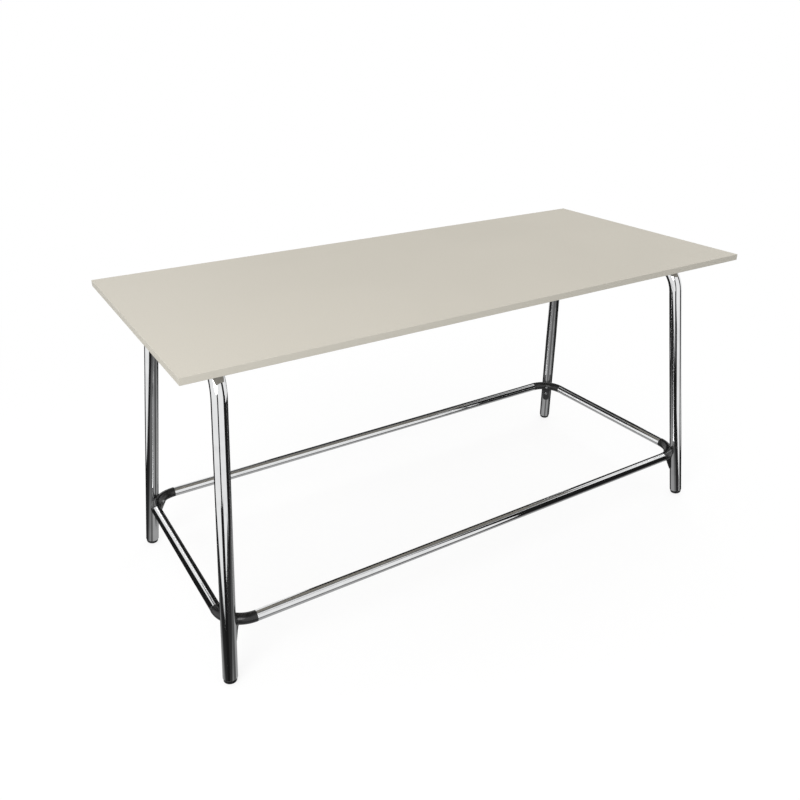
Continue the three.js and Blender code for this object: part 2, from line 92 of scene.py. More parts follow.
# Finishes by the record's material slots: the shader's own constants, the handling marks, the grain,
# two colours with the mask and range that they follow, and the bump that the grain makes
FINISHES = {
    # Pressed laminate: a fine pebbled face with faint flecks and wiped patches
    "laminate": {
        "name": "warm_grey_laminate",
        "shader": {"Specular IOR Level": 0.2},
        "marks": {"Mark Scale": 3.2, "Cleanest": 0.52, "Dullest": 0.58},
        "grain": {"Grain Scale": 1100, "Fleck Scale": 1100 / 3},
        "colours": ("laminate_fleck", "laminate"),
        "mask": ("grain", "Tone"),
        "range": (0.3, 0.6),
        "bump": {"Strength": 0.22, "Distance": 0.06 * MM},
    },
    # The laminate's edge band, of a finer grain and a little glossier
    "edge_band": {
        "name": "warm_grey_edge_band",
        "shader": {"Specular IOR Level": 0.2},
        "marks": {"Mark Scale": 3.2, "Cleanest": 0.46, "Dullest": 0.52},
        "grain": {"Grain Scale": 1500, "Fleck Scale": 500},
        "colours": ("laminate_fleck", "edge_band"),
        "mask": ("grain", "Tone"),
        "range": (0.3, 0.6),
        "bump": {"Strength": 0.22, "Distance": 0.06 * MM},
    },
    # Polished chrome plating with a breath of haze where it has been wiped
    "chrome": {
        "name": "polished_chrome",
        "shader": {"Metallic": 1},
        "marks": {"Mark Scale": 14, "Cleanest": 0.02, "Dullest": 0.06},
        "grain": {"Grain Scale": 45, "Fleck Scale": 20},
        "colours": ("chrome", "chrome_haze"),
        "mask": ("marks", "Mask"),
        "range": (0, 1),
        "bump": {"Strength": 0.05, "Distance": 0.05 * MM},
    },
    # Bright zinc plating, a little mottled
    "zinc_steel": {
        "name": "bright_zinc",
        "shader": {"Metallic": 1},
        "marks": {"Mark Scale": 160, "Cleanest": 0.24, "Dullest": 0.42},
        "grain": {"Grain Scale": 2600, "Fleck Scale": 420},
        "colours": ("zinc_dull", "zinc"),
        "mask": ("grain", "Tone"),
        "range": (0.35, 0.6),
        "bump": {"Strength": 0.2, "Distance": 0.03 * MM},
    },
    # Satin black moulded plastic with a fine spark-eroded grain
    "black_plastic": {
        "name": "satin_black_plastic",
        "shader": {"Specular IOR Level": 0.55},
        "marks": {"Mark Scale": 38, "Cleanest": 0.24, "Dullest": 0.34},
        "grain": {"Grain Scale": 1500, "Fleck Scale": 60},
        "colours": ("black_plastic", "black_plastic_worn"),
        "mask": ("marks", "Mask"),
        "range": (0, 1),
        "bump": {"Strength": 0.3, "Distance": 0.05 * MM},
    },
}

# The range of the broad noise over which handling marks go from none to full
MARK_RANGE = (0.38, 0.68)

# The studio that gloss mirrors, in degrees: shades by elevation, and cards by first and last bearing,
# lowest and highest elevation and shade
STUDIO_SHADES = (
    (-90, 0.5),
    (-50, 0.42),
    (-43, 0.38),
    (-36, 0.32),
    (-31, 0.03),
    (-24.9, 0.012),
    (-24.5, 1),
    (49, 1),
    (51, 0.16),
)
STUDIO_CARDS = {
    "flag_back_right": (34, 72, -30, 52, 0.012),
    "flag_back_left": (118, 138, -30, 48, 0.012),
    "head_back_left": (118, 143, 18, 48, 0.012),
    "flag_front_left": (-138, -123, -30, 30, 0.012),
    "foot_front_left": (-146, -112, -30, -17, 0.012),
    "flag_front_right": (-56, -31, -30, 47, 0.012),
    "foot_front_right": (-56, -26, -30, -8, 0.012),
    "floor_front_right": (-60, -22, -46, -30, 0.1),
    "floor_front_left": (-145, -105, -44, -30, 0.14),
    "skirt_back": (70, 112, -40, -22, 0.02),
    "skirt_back_left": (100, 118, -35, -16, 0.02),
    "skirt_front": (-112, -66, -30, -23, 0.03),
    "skirt_right": (-26, 40, -30, -21, 0.02),
    "rail_front": (-84, -56, 40, 44, 0.15),
    "soffit_front": (-84, -38, 49, 64, 0.9),
    "soffit_back": (70, 118, 40, 51, 0.16),
}


# Sizes, colours and settings that a user can change


def length(name, millimetres, description):
    """A length, given in millimetres and held in metres."""
    return bpy.props.FloatProperty(
        name=name, description=description, default=millimetres * MM, min=0, precision=4, unit="LENGTH"
    )


def amount(name, default, description, **settings):
    """A number from zero up."""
    return bpy.props.FloatProperty(name=name, description=description, default=default, min=0, **settings)


def share(name, default, description):
    """A number from zero to one."""
    return amount(name, default, description, max=1, subtype="FACTOR")


def spot(name, metres, description):
    """A point in the shared frame."""
    return bpy.props.FloatVectorProperty(
        name=name, description=description, default=metres, subtype="TRANSLATION", unit="LENGTH"
    )


def turn(name, radians, description):
    """A turn about X, Y and Z."""
    return bpy.props.FloatVectorProperty(
        name=name, description=description, default=radians, subtype="EULER", unit="ROTATION"
    )


def colour(name, linear, description):
    """A colour in linear light."""
    return bpy.props.FloatVectorProperty(
        name=name, description=description, default=linear, size=3, min=0, max=1, subtype="COLOR"
    )


class TabletopSizes(bpy.types.PropertyGroup):
    length: length("Length", 1800, "Length of the top over its edge bands")
    width: length("Width", 800, "Width of the top over its edge bands")
    height: length("Height", 900, "Height of the top's upper face above the floor")
    thickness: length("Thickness", 18, "Thickness of the board")
    band_thickness: length("Band Thickness", 2, "Thickness of the edge bands")
    band_rounding: length("Band Rounding", 0.9, "Radius on the outer arrises of the edge bands")
    glue_line: length("Glue Line", 0.12, "Chamfer where a band meets the board")


class LegSizes(bpy.types.PropertyGroup):
    diameter: length("Diameter", 40, "Outside diameter of the end frames' tube")
    wall: length("Wall", 2, "Wall of the end frames' tube")
    splay: bpy.props.FloatProperty(
        name="Splay",
        description="Lean of each leg from upright, seen from the side and from the end",
        default=math.radians(6),
        subtype="ANGLE",
    )
    bend_radius: length("Bend Radius", 100, "Radius of the bend between leg and rail, at the tube's axis")
    inset_from_end: length("Inset From End", 37, "Foot's axis in from the end of the top")
    inset_from_side: length("Inset From Side", 39, "Foot's axis in from the long side of the top")
    rim: length("Rim", 0.4, "Chamfer on the cut ends of the tubes")


class PlateSizes(bpy.types.PropertyGroup):
    length: length("Length", 110, "Length of a mount plate across the rail")
    width: length("Width", 50, "Width of a mount plate along the rail")
    thickness: length("Thickness", 4, "Thickness of a mount plate")
    corner_radius: length("Corner Radius", 8, "Radius of a mount plate's corners")
    from_bend: length("From Bend", 45, "Gap between the rail's bend and a mount plate")
    screw_spacing: length("Screw Spacing", 80, "Distance between a mount plate's two screws")
    insert_length: length("Insert Length", 12, "Length of the threaded inserts in the board")
    arris: length("Arris", 0.5, "Chamfer on a mount plate's edges")


class RingSizes(bpy.types.PropertyGroup):
    height: length("Height", 172, "Height of the ring's axis above the floor")
    diameter: length("Diameter", 30, "Outside diameter of the ring tubes")
    wall: length("Wall", 1.5, "Wall of the ring tubes")
    outside_leg: length("Outside Leg", 6, "Ring's axis out from the legs' axes")
    fit_gap: length("Fit Gap", 0.3, "Clearance between pieces that meet or fit together")


class ConnectorSizes(bpy.types.PropertyGroup):
    proud: length("Proud", 0.5, "How far a connector stands proud of the ring tube")
    bend_radius: length("Bend Radius", 80, "Radius of the quarter elbow, at its axis")
    spigot_length: length("Spigot Length", 25, "Length of the spigots inside the ring tubes")
    tongue_length: length("Tongue Length", 76, "From the upper screw down to the tongue's tip")
    tongue_width: length("Tongue Width", 25, "Width of the tongue on the leg")
    tip_thickness: length("Tip Thickness", 1.5, "Thickness of the tongue at its tip")
    tip_rounding: length("Tip Rounding", 12, "Height of the round tip")
    face_start: length("Face Start", 10.5, "From the upper screw down to the start of the tongue's face")
    flare_width: length("Flare Width", 46, "Width of the tongue where it spreads into the elbow")
    flare_height: length("Flare Height", 22, "Height over which the tongue spreads below the elbow")
    screw_spacing: length("Screw Spacing", 34, "Distance between a connector's two screws")
    seat_depth: length("Seat Depth", 2, "Depth of the screw seats")
    seat_margin: length("Seat Margin", 0.8, "Gap round a screw head in its seat")
    shoulder_chamfer: length("Shoulder Chamfer", 0.4, "Chamfer where a connector meets a ring tube")
    blend_grid: length("Blend Grid", 0.9, "Grid on which the elbow and tongue are blended")
    blend_passes: bpy.props.IntProperty(
        name="Blend Passes",
        description="Smoothing passes that round the elbow into the tongue",
        default=34,
        min=0,
    )
    blend_factor: share("Blend Factor", 0.5, "How far one pass moves a point towards its neighbours")


class ScrewSizes(bpy.types.PropertyGroup):
    diameter: length("Diameter", 6, "Diameter of the screws")
    head_diameter: length("Head Diameter", 10.5, "Diameter of the button heads")
    head_height: length("Head Height", 3.3, "Height of the button heads")
    head_rim: length("Head Rim", 1.2, "Height of a button head's straight rim")
    land: length("Land", 1, "Width of the flat land round the socket")
    socket: length("Socket", 4.6, "Width over corners of the hexagon socket")
    socket_depth: length("Socket Depth", 2, "Depth of the hexagon socket")
    point: length("Point", 0.75, "Chamfer at a screw's end")
    end_clearance: length("End Clearance", 2, "From a screw's end to the end of its insert or nut")
    nut_diameter: length("Nut Diameter", 9, "Diameter of the rivet nuts in the legs")
    nut_length: length("Nut Length", 14, "Length of the rivet nuts in the legs")


class GlideSizes(bpy.types.PropertyGroup):
    setback: length("Setback", 2, "How far a glide stands back from the leg tube's outside")
    height: length("Height", 16, "Height of a glide below the leg tube")
    dome_radius: length("Dome Radius", 32, "Radius of the glide's domed underside")
    edge: length("Edge", 2.4, "How far in from a glide's side its dome gives way to a rounding")
    rim: length("Rim", 0.3, "Chamfer round the glide's upper face")
    worn_depth: length("Worn Depth", 0.25, "Depth of the flat that the floor wears on the dome")
    stem_diameter: length("Stem Diameter", 10, "Diameter of the threaded stem")
    stem_length: length("Stem Length", 28, "Length of the threaded stem above the glide")
    thread_pitch: length("Thread Pitch", 1.5, "Pitch of the stem's thread")
    thread_depth: length("Thread Depth", 0.8, "Depth of the stem's thread")


class FinishColours(bpy.types.PropertyGroup):
    laminate: colour("Laminate", (0.647, 0.612, 0.535), "Warm grey of the laminate")
    laminate_fleck: colour("Laminate Fleck", (0.612, 0.577, 0.501), "Darker flecks in the laminate")
    edge_band: colour("Edge Band", (0.624, 0.598, 0.526), "Warm grey of the edge bands")
    chrome: colour("Chrome", (0.79, 0.795, 0.8), "Polished chrome plating")
    chrome_haze: colour("Chrome Haze", (0.73, 0.735, 0.74), "Chrome where it is a little hazy")
    zinc: colour("Zinc", (0.60, 0.61, 0.62), "Bright zinc plating")
    zinc_dull: colour("Zinc Dull", (0.45, 0.455, 0.46), "Zinc plating where it has dulled")
    black_plastic: colour("Black Plastic", (0.007, 0.007, 0.0074), "Black of the moulded plastic")
    black_plastic_worn: colour("Worn Black Plastic", (0.012, 0.012, 0.0124), "Black plastic that is rubbed")


class StageSettings(bpy.types.PropertyGroup):
    camera_place: spot("Camera Place", (-1.2774, -1.8672, 1.5544), "Where the camera stands")
    camera_turn: turn(
        "Camera Turn", (math.pi / 2 - 0.45348, 0, -0.55793), "The camera's turn about X, Y and Z"
    )
    lens: amount("Lens", 34.66, "Focal length in millimetres", unit="CAMERA")
    dome_light: amount("Dome Light", 0.74, "Strength of the even light from all round")
    key_place: spot("Key Place", (-3.2, -2.2, 2.4), "Where the large soft lamp at the front left stands")
    key_size: length("Key Size", 2600, "Diameter of the lamp at the front left")
    key_power: amount("Key Power", 84, "Power of the lamp at the front left", unit="POWER")
    fill_place: spot("Fill Place", (2.6, 1.6, 3.4), "Where the large soft lamp at the back right stands")
    fill_size: length("Fill Size", 3200, "Diameter of the lamp at the back right")
    fill_power: amount("Fill Power", 28, "Power of the lamp at the back right", unit="POWER")
    lamp_target: spot("Lamp Target", (0, 0, 0.6), "The point that both lamps face")
    floor_reach: length("Floor Reach", 60000, "From the middle of the floor to its sides")
    floor_bounce: share("Floor Bounce", 0.42, "Share of the light that the floor throws back up")
    floor_shade: share("Floor Shade", 0.18, "Share of the floor's white that the table's shadow takes away")
    floor_light: share("Floor Light", 0.92, "Light on the open floor, which its glow makes up to white")
    shadow_fade: length("Shadow Fade", 1200, "From the floor's middle to where the shadow starts to fade")
    shadow_end: length("Shadow End", 3000, "From the floor's middle to where the shadow is gone")


# Lines of the table


class TableLines:
    """The lines and stations that follow from the sizes, in metres."""

    def __init__(self, scene):
        top, leg, plate = scene.table_top, scene.table_leg, scene.table_plate
        ring, joint, glide = scene.table_ring, scene.table_connector, scene.table_glide
        self.top, self.leg, self.plate = top, leg, plate
        self.ring, self.joint, self.glide = ring, joint, glide
        self.screw = scene.table_screw
        self.splay = math.tan(leg.splay)
        self.lean = math.atan(math.sqrt(2) * self.splay)
        self.leaned = Matrix.Rotation(self.lean, 4, "Y")
        self.leg_radius = leg.diameter / 2
        self.ring_radius = ring.diameter / 2
        self.connector_radius = self.ring_radius + joint.proud
        self.underside = top.height - top.thickness
        self.rail_height = self.underside - plate.thickness - ring.fit_gap - self.leg_radius
        self.ring_x = self.leg_x(ring.height) + ring.outside_leg
        self.ring_y = self.leg_y(ring.height) + ring.outside_leg
        bend = math.acos(self.splay / math.hypot(1, self.splay, self.splay))
        self.rail_half = self.leg_y(self.rail_height) - leg.bend_radius * math.tan(bend / 2)
        upright = math.cos(self.lean)
        self.dome_bottom = (glide.dome_radius - glide.worn_depth - ring.height) / upright - glide.dome_radius
        self.foot_height = ring.height + (self.dome_bottom + glide.height) * upright
        reach = math.sqrt(2) * (joint.bend_radius - ring.outside_leg) - joint.bend_radius
        self.elbow_from_leg = reach * upright
        self.elbow_face = self.elbow_from_leg + self.connector_radius
        self.upper_screw = reach * math.sin(self.lean)
        self.lower_screw = self.upper_screw - joint.screw_spacing
        self.face_top = self.upper_screw - joint.face_start
        self.tongue_tip = self.upper_screw - joint.tongue_length

    def leg_x(self, height):
        """How far the legs' axes lie from the middle of the table's length, at a height."""
        return self.top.length / 2 - self.leg.inset_from_end - self.splay * height

    def leg_y(self, height):
        """How far the legs' axes lie from the middle of the table's width, at a height."""
        return self.top.width / 2 - self.leg.inset_from_side - self.splay * height

    def leg_point(self, row, side, height):
        """The point of a leg's axis at a height."""
        return Vector((SIDES[side] * self.leg_x(height), ROWS[row] * self.leg_y(height), height))

    def corner_frame(self, row, side):
        """A corner's frame: on the leg's axis at the ring's height, with +X pointing in across the corner."""
        inward = Matrix.Rotation(math.atan2(-ROWS[row], -SIDES[side]), 4, "Z")
        return Matrix.Translation(self.leg_point(row, side, self.ring.height)) @ inward

    def leg_frame(self, row, side):
        """A leg's frame: the corner's frame leaned over, with +Z up the leg's axis."""
        return self.corner_frame(row, side) @ self.leaned

    def tongue_face(self, height):
        """How far the tongue's face lies from the leg's axis, at a height along the leg."""
        tip_face = self.leg_radius + self.joint.tip_thickness
        risen = (height - self.tongue_tip) / (self.face_top - self.tongue_tip)
        return tip_face + (self.elbow_face - tip_face) * risen

    def screw_seat(self, name):
        """Height of a connector screw along the leg, and how far its head's seat lies from the leg's axis."""
        if name == "upper":
            height, face = self.upper_screw, self.elbow_face
        else:
            height, face = self.lower_screw, self.tongue_face(self.lower_screw)
        return height, face - self.joint.seat_depth

    def screw_end(self):
        """How far from the leg's axis a connector screw ends."""
        nut_top = math.sqrt(self.leg_radius**2 - (self.screw.nut_diameter / 2) ** 2) - self.ring.fit_gap
        return nut_top - self.screw.nut_length + self.screw.end_clearance

    def plate_middle(self, row, side):
        """Middle of a mount plate's top face."""
        across = self.leg_x(self.rail_height)
        along = self.rail_half - self.plate.from_bend - self.plate.width / 2
        return Vector((SIDES[side] * across, ROWS[row] * along, self.underside))


# Modelling


def frame_along(point, direction):
    """A frame at a point with +Z along a direction."""
    return Matrix.Translation(point) @ direction.to_track_quat("Z", "Y").to_matrix().to_4x4()


def of_kind(geometry, kind):
    return [item for item in geometry if isinstance(item, kind)]


def everything(bm):
    return bm.verts[:] + bm.edges[:] + bm.faces[:]


def place(bm, matrix):
    """Moves and turns a whole shape."""
    bmesh.ops.transform(bm, matrix=matrix, verts=bm.verts[:])


def weld(bm, distance):
    bmesh.ops.remove_doubles(bm, verts=bm.verts[:], dist=distance)


def face_outwards(bm):
    bmesh.ops.recalc_face_normals(bm, faces=bm.faces[:])


def ring_of_edges(bm, radius, matrix, sides, capped=False):
    """Starts a round section and gives its edges."""
    made = bmesh.ops.create_circle(bm, cap_ends=capped, segments=sides, radius=radius, matrix=matrix)
    edges = dict.fromkeys(edge for vert in made["verts"] for edge in vert.link_edges)
    return [edge for edge in edges if len(edge.link_faces) <= 1]


def open_edges(bm):
    return [edge for edge in bm.edges if edge.is_boundary]


def extend(bm, edges, offset):
    """Extrudes edges by an offset and gives the new edges."""
    made = bmesh.ops.extrude_edge_only(bm, edges=edges)["geom"]
    verts = of_kind(made, bmesh.types.BMVert)
    bmesh.ops.translate(bm, verts=verts, vec=offset)
    fresh = set(verts)
    return [edge for edge in of_kind(made, bmesh.types.BMEdge) if fresh.issuperset(edge.verts)]


def push_out(bm, faces, offset):
    """Extrudes faces by an offset and gives the new points and faces."""
    made = bmesh.ops.extrude_face_region(bm, geom=faces)["geom"]
    verts = of_kind(made, bmesh.types.BMVert)
    bmesh.ops.translate(bm, verts=verts, vec=offset)
    return verts, of_kind(made, bmesh.types.BMFace)


def spin(bm, geometry, angle, steps, centre=(0, 0, 0), axis=(0, 0, 1), rise=0, merge=False):
    """Spins geometry about an axis, with a rise in each step, and gives the last edges."""
    made = bmesh.ops.spin(
        bm,
        geom=geometry,
        cent=centre,
        axis=axis,
        dvec=(0, 0, rise),
        angle=angle,
        steps=steps,
        use_merge=merge,
        use_duplicate=False,
    )
    return of_kind(made["geom_last"], bmesh.types.BMEdge)


def angles_between(first, last, steps):
    """Even angles from the first to the last."""
    return [first + (last - first) * step / steps for step in range(steps + 1)]


def profile_line(bm, profile):
    """A line through radius and height pairs, with its points."""
    verts = [bm.verts.new((radius, 0, height)) for radius, height in profile]
    return verts + [bm.edges.new(pair) for pair in zip(verts, verts[1:])]


def turned(profile, sides):
    """A new shape: a profile of radius and height pairs, spun a full turn about Z."""
    bm = bmesh.new()
    spin(bm, profile_line(bm, profile), 2 * math.pi, sides, merge=True)
    weld(bm, MERGE_DISTANCE)
    face_outwards(bm)
    return bm


def cut_away(bm, point, outward):
    """Cuts away all that lies outside a plane and gives the open edges on it."""
    point, outward = Vector(point), Vector(outward).normalized()
    bmesh.ops.bisect_plane(bm, geom=everything(bm), plane_co=point, plane_no=outward, clear_outer=True)
    return [
        edge
        for edge in open_edges(bm)
        if all(abs(outward.dot(vert.co - point)) < WELD_DISTANCE for vert in edge.verts)
    ]


def cut_and_cap(bm, point, outward):
    """Cuts away all that lies outside a plane and gives the faces that close the cut."""
    return bmesh.ops.holes_fill(bm, edges=cut_away(bm, point, outward), sides=0)["faces"]


def clean_cuts(bm):
    """Welds what cuts left a hair apart, and takes out the slivers between."""
    weld(bm, WELD_DISTANCE)
    bmesh.ops.triangulate(bm, faces=[face for face in bm.faces if len(face.verts) > 4])
    bmesh.ops.dissolve_degenerate(bm, dist=SLIVER_DISTANCE, edges=bm.edges[:])


def soften(bm, geometry, offset, segments, affect="EDGES"):
    """Rounds edges or corners."""
    bmesh.ops.bevel(
        bm,
        geom=geometry,
        offset=offset,
        offset_type="OFFSET",
        segments=segments,
        profile=0.5,
        affect=affect,
        material=-1,
        clamp_overlap=True,
    )


def is_sharp(edge):
    return edge.is_manifold and edge.calc_face_angle(0) > SHARP_ANGLE


def sharp_edges(bm):
    bm.normal_update()
    return [edge for edge in bm.edges if is_sharp(edge)]


def edges_facing(edges, direction):
    """Those of the edges that have a face looking in a direction."""
    return [edge for edge in edges if any(face.normal.dot(direction) > FACING for face in edge.link_faces)]


def thicken(bm, wall, rim):
    """Gives a tube's skin its wall, and its cut ends a fine chamfer."""
    face_outwards(bm)
    bmesh.ops.solidify(bm, geom=bm.faces[:], thickness=wall)
    soften(bm, sharp_edges(bm), rim, ARRIS_SEGMENTS)


def add_object(bm, name):
    """Makes an object of a bmesh, with its place in its mesh."""
    mesh = bpy.data.meshes.new(name)
    bm.to_mesh(mesh)
    bm.free()
    made = bpy.data.objects.new(name, mesh)
    bpy.context.scene.collection.objects.link(made)
    return made


def remove_object(made):
    mesh = made.data
    bpy.data.objects.remove(made)
    bpy.data.meshes.remove(mesh)


def after_modifiers(made):
    """A bmesh of an object as its modifiers leave it. The object is removed."""
    bpy.context.view_layer.update()
    bm = bmesh.new()
    bm.from_object(made, bpy.context.evaluated_depsgraph_get())
    remove_object(made)
    return bm


def add_piece(bm, name, slot, body, *nodes):
    """Makes a finished piece of the table that rides on a body and stands for CAD nodes."""
    bm.normal_update()
    for face in bm.faces:
        face.smooth = True
    for edge in bm.edges:
        edge.smooth = not is_sharp(edge)
    piece = add_object(bm, name)
    piece.data.materials.append(finish(slot))
    flatter = piece.modifiers.new("face_weights", "WEIGHTED_NORMAL")
    flatter.keep_sharp = True
    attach(piece, body)
    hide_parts(*nodes)


# Nodes and finishes


def grey(level):
    return (level, level, level, 1)


def add_node(tree, kind, inputs=None, **settings):
    """Adds a node with its settings, and sets each input to a value or links it to a socket."""
    node = tree.nodes.new(kind)
    for name, value in settings.items():
        setattr(node, name, value)
    for name, value in (inputs or {}).items():
        if isinstance(value, bpy.types.NodeSocket):
            tree.links.new(value, node.inputs[name])
        else:
            node.inputs[name].default_value = value
    return node


def maths(tree, operation, *values):
    """The result of a Math node on numbers and sockets."""
    return add_node(tree, "ShaderNodeMath", dict(enumerate(values)), operation=operation).outputs[0]


def noise(tree, scale, **look):
    """A noise that is fixed to the object."""
    spots = add_node(tree, "ShaderNodeTexCoord").outputs["Object"]
    return add_node(tree, "ShaderNodeTexNoise", {"Vector": spots, "Scale": scale, **look}).outputs["Fac"]


def spread(tree, value, low, high, curve="LINEAR"):
    """A mask that runs from zero to one as a value goes from low to high."""
    ends = {"Value": value, "From Min": low, "From Max": high}
    return add_node(tree, "ShaderNodeMapRange", ends, interpolation_type=curve).outputs["Result"]


def mixed(tree, mask, first, second):
    """A shader that goes from the first to the second with a mask."""
    return add_node(tree, "ShaderNodeMixShader", {"Fac": mask, 1: first, 2: second}).outputs[0]


def new_material(name):
    """An empty node material and its tree."""
    material = bpy.data.materials.new(name)
    material.use_nodes = True
    material.node_tree.nodes.clear()
    return material, material.node_tree


def new_group(name, inputs, outputs):
    """A shader node group with float inputs and outputs, and the sockets that its inputs come from."""
    tree = bpy.data.node_groups.new(name, "ShaderNodeTree")
    for socket in inputs:
        tree.interface.new_socket(socket, in_out="INPUT", socket_type="NodeSocketFloat")
    for socket in outputs:
        tree.interface.new_socket(socket, in_out="OUTPUT", socket_type="NodeSocketFloat")
    return tree, tree.nodes.new("NodeGroupInput").outputs


def grain_group():
    """The pebbled grain of pressed laminate and moulded plastic: a height for bumps and a tone for flecks."""
    name = "surface_grain"
    if name in bpy.data.node_groups:
        return bpy.data.node_groups[name]
    tree, given = new_group(name, ("Grain Scale", "Fleck Scale"), ("Height", "Tone"))
    pebbles = noise(tree, given["Grain Scale"], Detail=3, Roughness=0.62)
    flecks = noise(tree, given["Fleck Scale"], Detail=4, Roughness=0.7, Distortion=0.3)
    add_node(tree, "NodeGroupOutput", {"Height": pebbles, "Tone": flecks})
    return tree


def handling_group():
    """Marks of wiping and touching: a roughness that drifts between two values, and a mask of the marks."""
    name = "handling_marks"
    if name in bpy.data.node_groups:
        return bpy.data.node_groups[name]
    tree, given = new_group(name, ("Mark Scale", "Cleanest", "Dullest"), ("Roughness", "Mask"))
    broad = noise(tree, given["Mark Scale"], Detail=5, Roughness=0.55, Distortion=0.6)
    mask = spread(tree, broad, *MARK_RANGE, curve="SMOOTHSTEP")
    drift = {"Value": mask, "To Min": given["Cleanest"], "To Max": given["Dullest"]}
    level = add_node(tree, "ShaderNodeMapRange", drift).outputs["Result"]
    add_node(tree, "NodeGroupOutput", {"Roughness": level, "Mask": mask})
    return tree


def tone_between(tree, mask, first, second, low, high):
    """A colour that runs from one to another as a mask goes from low to high."""
    ramp = add_node(tree, "ShaderNodeValToRGB", {"Fac": mask})
    stops = ramp.color_ramp.elements
    stops[0].position, stops[1].position = low, high
    stops[0].color, stops[1].color = (*first, 1), (*second, 1)
    return ramp.outputs["Color"]


def finish(slot):
    """The finish of one of the record's material slots, made once."""
    look = FINISHES[slot]
    if look["name"] in bpy.data.materials:
        return bpy.data.materials[look["name"]]
    material, tree = new_material(look["name"])
    effects = {
        "marks": add_node(tree, "ShaderNodeGroup", look["marks"], node_tree=handling_group()).outputs,
        "grain": add_node(tree, "ShaderNodeGroup", look["grain"], node_tree=grain_group()).outputs,
    }
    first, second = (getattr(bpy.context.scene.table_colours, name) for name in look["colours"])
    effect, output = look["mask"]
    bump = add_node(tree, "ShaderNodeBump", {"Height": effects["grain"]["Height"], **look["bump"]})
    shader = add_node(
        tree,
        "ShaderNodeBsdfPrincipled",
        {
            **look["shader"],
            "Base Color": tone_between(tree, effects[effect][output], first, second, *look["range"]),
            "Roughness": effects["marks"]["Roughness"],
            "Normal": bump.outputs["Normal"],
        },
    )
    add_node(tree, "ShaderNodeOutputMaterial", {"Surface": shader.outputs["BSDF"]})
    return material


def dress(node, slot):
    """Gives a carried-over CAD node its finish."""
    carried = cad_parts[node]
    material = finish(slot)
    if not carried.material_slots:
        carried.data.materials.append(material)
    for held in carried.material_slots:
        held.material = material


# Operators


class TABLE_OT_top(bpy.types.Operator):
    """Finish the board of the top and model the four edge bands round it"""

    bl_idname = "table.top"
    bl_label = "Top and Edge Bands"

    def execute(self, context):
        top = context.scene.table_top
        dress("tabletop_board", "laminate")
        for row, way in ROWS.items():
            size = (top.length, top.band_thickness, top.thickness)
            self.add_band(top, f"edge_band_{row}", size, Vector((0, way, 0)), top.width / 2)
        for side, way in SIDES.items():
            size = (top.band_thickness, top.width - 2 * top.band_thickness, top.thickness)
            self.add_band(top, f"edge_band_{side}", size, Vector((way, 0, 0)), top.length / 2)
        return {"FINISHED"}

    def add_band(self, top, node, size, outward, reach):
        """A band with round outer arrises, and a fine chamfer where it meets the board."""
        middle = outward * (reach - top.band_thickness / 2)
        middle.z = top.height - top.thickness / 2
        bm = bmesh.new()
        bmesh.ops.create_cube(bm, size=1, matrix=Matrix.Translation(middle) @ Matrix.Diagonal((*size, 1)))
        bm.normal_update()
        outer = edges_facing(bm.edges, outward)
        if outward.x:
            # The short bands butt against the long ones, so their upright edges stay square.
            outer = [edge for edge in outer if abs((edge.verts[0].co - edge.verts[1].co).z) < MERGE_DISTANCE]
        soften(bm, outer, top.band_rounding, BAND_SEGMENTS)
        soften(bm, edges_facing(sharp_edges(bm), -outward), top.glue_line, CHAMFER_SEGMENTS)
        add_piece(bm, f"rounded_{node}", "edge_band", TABLE_BODY, node)


class TABLE_OT_end_frames(bpy.types.Operator):
    """Model the two end frames, each one bent tube with a leg, a rail under the top and a leg"""

    bl_idname = "table.end_frames"
    bl_label = "End Frames"

    def execute(self, context):
        lines = TableLines(context.scene)
        for side in SIDES:
            node = f"end_frame_{side}"
            add_piece(self.bent_tube(lines, side), f"chrome_{node}", "chrome", TABLE_BODY, node)
        return {"FINISHED"}

    def bent_tube(self, lines, side):
        """The front half of the tube from the foot to the middle of the rail, mirrored to the back."""
        leg = lines.leg
        foot = lines.leg_point("front", side, lines.foot_height)
        corner = lines.leg_point("front", side, lines.rail_height)
        up = (corner - foot).normalized()
        along = Vector((0, 1, 0))
        bend = up.angle(along)
        bend_start = corner - up * leg.bend_radius * math.tan(bend / 2)
        inward = (along - up * along.dot(up)).normalized()
        centre = bend_start + inward * leg.bend_radius
        bm = bmesh.new()
        edges = ring_of_edges(bm, lines.leg_radius, frame_along(foot, up), TUBE_SIDES)
        edges = extend(bm, edges, bend_start - foot)
        edges = spin(bm, edges, bend, BEND_STEPS, centre, up.cross(inward))
        extend(bm, edges, along * lines.rail_half)
        middle = Matrix.Identity(4)
        bmesh.ops.mirror(bm, geom=everything(bm), matrix=middle, merge_dist=WELD_DISTANCE, axis="Y")
        weld(bm, MERGE_DISTANCE)
        thicken(bm, leg.wall, leg.rim)
        return bm


